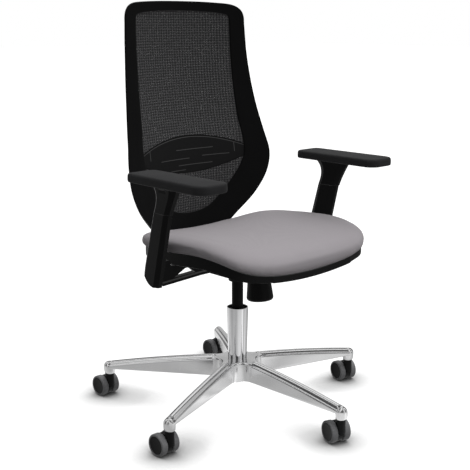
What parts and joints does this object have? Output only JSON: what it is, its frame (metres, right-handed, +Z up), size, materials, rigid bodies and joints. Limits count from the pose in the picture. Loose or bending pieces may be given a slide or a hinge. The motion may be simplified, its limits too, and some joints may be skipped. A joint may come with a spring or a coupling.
{
  "type": "swivel task chair",
  "caption": "Swivel task chair with a black mesh back, lumbar panel, grey cushioned seat, height-adjustable arms, gas column and polished star base on twin-wheel casters.",
  "frame": {"origin": "point on the floor under the axis of the gas column", "axes": "+Z up along the column, -Y the way the sitter faces, +X the sitter's left"},
  "size_m": [0.6868, 0.6633, 0.9855],
  "materials": {
    "polished_aluminium": "polished",
    "chrome": "polished",
    "steel": "satin",
    "black_metal": "satin",
    "black_plastic": "satin",
    "soft_black": "soft matt",
    "grey_wheel": "matt grey tread round a black hub",
    "black_mesh": "open woven mesh",
    "grey_fabric": "fine woven upholstery"
  },
  "bodies": {
    "base": {"five_star_base": "polished_aluminium", "column_tube": "chrome", "guide_bush": "black_plastic", "thrust_bearing": "steel"},
    "rod": {"piston_rod": "steel", "retaining_clip": "steel"},
    "mechanism": {"gas_cylinder": "steel", "mechanism_housing": "black_metal", "tilt_spring": "steel", "front_pivot_shaft": "steel", "rear_pivot_shaft": "steel"},
    "knob": {"tension_knob": "black_plastic", "tension_screw": "steel"},
    "height_lever": {"height_lever": "black_plastic"},
    "release_pin": {"release_pin": "steel"},
    "tilt_lock_lever": {"tilt_lock_lever": "black_plastic"},
    "seat": {"seat_plate": "black_metal", "seat_shell": "black_plastic", "seat_cushion": "grey_fabric", "seat_screws": "steel", "arm_bolts": "steel", "left_arm_upright": "black_plastic", "right_arm_upright": "black_plastic"},
    "back": {"back_carrier": "black_metal", "back_frame": "black_plastic", "back_mesh": "black_mesh", "back_bolts": "steel", "lumbar_rails": "steel"},
    "lumbar": {"lumbar_panel": "black_plastic"},
    "left_arm": {"left_arm_post": "black_plastic", "left_arm_pad": "soft_black"},
    "left_button": {"left_arm_button": "black_plastic"},
    "right_arm": {"right_arm_post": "black_plastic", "right_arm_pad": "soft_black"},
    "right_button": {"right_arm_button": "black_plastic"},
    "caster_1": {"caster_stem_1": "steel", "caster_hood_1": "black_plastic", "wheel_axle_1": "steel"},
    "left_wheel_1": {"left_wheel_1": "grey_wheel"},
    "right_wheel_1": {"right_wheel_1": "grey_wheel"},
    "caster_2": {"caster_stem_2": "steel", "caster_hood_2": "black_plastic", "wheel_axle_2": "steel"},
    "left_wheel_2": {"left_wheel_2": "grey_wheel"},
    "right_wheel_2": {"right_wheel_2": "grey_wheel"},
    "caster_3": {"caster_stem_3": "steel", "caster_hood_3": "black_plastic", "wheel_axle_3": "steel"},
    "left_wheel_3": {"left_wheel_3": "grey_wheel"},
    "right_wheel_3": {"right_wheel_3": "grey_wheel"},
    "caster_4": {"caster_stem_4": "steel", "caster_hood_4": "black_plastic", "wheel_axle_4": "steel"},
    "left_wheel_4": {"left_wheel_4": "grey_wheel"},
    "right_wheel_4": {"right_wheel_4": "grey_wheel"},
    "caster_5": {"caster_stem_5": "steel", "caster_hood_5": "black_plastic", "wheel_axle_5": "steel"},
    "left_wheel_5": {"left_wheel_5": "grey_wheel"},
    "right_wheel_5": {"right_wheel_5": "grey_wheel"}
  },
  "joints": [
    {"name": "swivel", "type": "hinge", "parent": "base", "child": "rod", "pos_m": [0, 0, 0.2], "axis": [0, 0, 1], "continuous": true},
    {"name": "seat_height", "type": "slide", "parent": "rod", "child": "mechanism", "axis": [0, 0, 1], "range_m": [-0.06, 0.04]},
    {"name": "tension", "type": "hinge", "parent": "mechanism", "child": "knob", "pos_m": [0, -0.074, 0.34289], "axis": [0, 0.0872, 0.9962], "continuous": true},
    {"name": "height_lever_lift", "type": "hinge", "parent": "mechanism", "child": "height_lever", "pos_m": [-0.025, 0.018, 0.355], "axis": [0, 1, 0], "range_deg": [0, 4.5], "stiffness_Nm_per_rad": 2},
    {"name": "release_pin_press", "type": "slide", "parent": "mechanism", "child": "release_pin", "axis": [0, 0, -1], "range_m": [0, 0.002]},
    {"name": "tilt_lock", "type": "hinge", "parent": "mechanism", "child": "tilt_lock_lever", "pos_m": [0.12, -0.042, 0.35], "axis": [1, 0, 0], "range_deg": [0, 25]},
    {"name": "back_recline", "type": "hinge", "parent": "mechanism", "child": "back", "pos_m": [0, 0.044, 0.352], "axis": [-1, 0, 0], "range_deg": [0, 18]},
    {"name": "seat_tilt", "type": "hinge", "parent": "mechanism", "child": "seat", "pos_m": [0, -0.1, 0.357], "axis": [-1, 0, 0], "range_deg": [0, 4], "stiffness_Nm_per_rad": 1600, "springref_deg": -3.84},
    {"name": "lumbar_height", "type": "slide", "parent": "back", "child": "lumbar", "axis": [0, 0.124, 0.9923], "range_m": [-0.005, 0.02]},
    {"name": "left_arm_height", "type": "slide", "parent": "seat", "child": "left_arm", "axis": [0, -0.2457, 0.9693], "range_m": [0, 0.06]},
    {"name": "left_button_press", "type": "slide", "parent": "left_arm", "child": "left_button", "axis": [-1, 0, 0], "range_m": [0, 0.002], "stiffness_N_per_m": 500},
    {"name": "right_arm_height", "type": "slide", "parent": "seat", "child": "right_arm", "axis": [0, -0.2457, 0.9693], "range_m": [0, 0.06]},
    {"name": "right_button_press", "type": "slide", "parent": "right_arm", "child": "right_button", "axis": [1, 0, 0], "range_m": [0, 0.002], "stiffness_N_per_m": 500},
    {"name": "caster_swivel_1", "type": "hinge", "parent": "base", "child": "caster_1", "pos_m": [0.00979, -0.32986, 0.06], "axis": [0, 0, 1], "continuous": true},
    {"name": "left_wheel_spin_1", "type": "hinge", "parent": "caster_1", "child": "left_wheel_1", "pos_m": [0.01597, -0.31083, 0.026], "axis": [0.9511, -0.309, 0], "continuous": true},
    {"name": "right_wheel_spin_1", "type": "hinge", "parent": "caster_1", "child": "right_wheel_1", "pos_m": [0.01597, -0.31083, 0.026], "axis": [0.9511, -0.309, 0], "continuous": true},
    {"name": "caster_swivel_2", "type": "hinge", "parent": "base", "child": "caster_2", "pos_m": [0.31674, -0.09262, 0.06], "axis": [0, 0, 1], "continuous": true},
    {"name": "left_wheel_spin_2", "type": "hinge", "parent": "caster_2", "child": "left_wheel_2", "pos_m": [0.32191, -0.0733, 0.026], "axis": [0.9659, -0.2588, 0], "continuous": true},
    {"name": "right_wheel_spin_2", "type": "hinge", "parent": "caster_2", "child": "right_wheel_2", "pos_m": [0.32191, -0.0733, 0.026], "axis": [0.9659, -0.2588, 0], "continuous": true},
    {"name": "caster_swivel_3", "type": "hinge", "parent": "base", "child": "caster_3", "pos_m": [0.18596, 0.27261, 0.06], "axis": [0, 0, 1], "continuous": true},
    {"name": "left_wheel_spin_3", "type": "hinge", "parent": "caster_3", "child": "left_wheel_3", "pos_m": [0.18736, 0.29256, 0.026], "axis": [0.9976, -0.0698, 0], "continuous": true},
    {"name": "right_wheel_spin_3", "type": "hinge", "parent": "caster_3", "child": "right_wheel_3", "pos_m": [0.18736, 0.29256, 0.026], "axis": [0.9976, -0.0698, 0], "continuous": true},
    {"name": "caster_swivel_4", "type": "hinge", "parent": "base", "child": "caster_4", "pos_m": [-0.2018, 0.2611, 0.06], "axis": [0, 0, 1], "continuous": true},
    {"name": "left_wheel_spin_4", "type": "hinge", "parent": "caster_4", "child": "left_wheel_4", "pos_m": [-0.2018, 0.2811, 0.026], "axis": [1, 0, 0], "continuous": true},
    {"name": "right_wheel_spin_4", "type": "hinge", "parent": "caster_4", "child": "right_wheel_4", "pos_m": [-0.2018, 0.2811, 0.026], "axis": [1, 0, 0], "continuous": true},
    {"name": "caster_swivel_5", "type": "hinge", "parent": "base", "child": "caster_5", "pos_m": [-0.31068, -0.11124, 0.06], "axis": [0, 0, 1], "continuous": true},
    {"name": "left_wheel_spin_5", "type": "hinge", "parent": "caster_5", "child": "left_wheel_5", "pos_m": [-0.31068, -0.09124, 0.026], "axis": [1, 0, 0], "continuous": true},
    {"name": "right_wheel_spin_5", "type": "hinge", "parent": "caster_5", "child": "right_wheel_5", "pos_m": [-0.31068, -0.09124, 0.026], "axis": [1, 0, 0], "continuous": true}
  ],
  "couplings": [
    {"joint": "release_pin_press", "follows": "height_lever_lift", "m_per_rad": 0.025},
    {"joint": "back_recline", "follows": "seat_tilt", "ratio": 4.5}
  ]
}
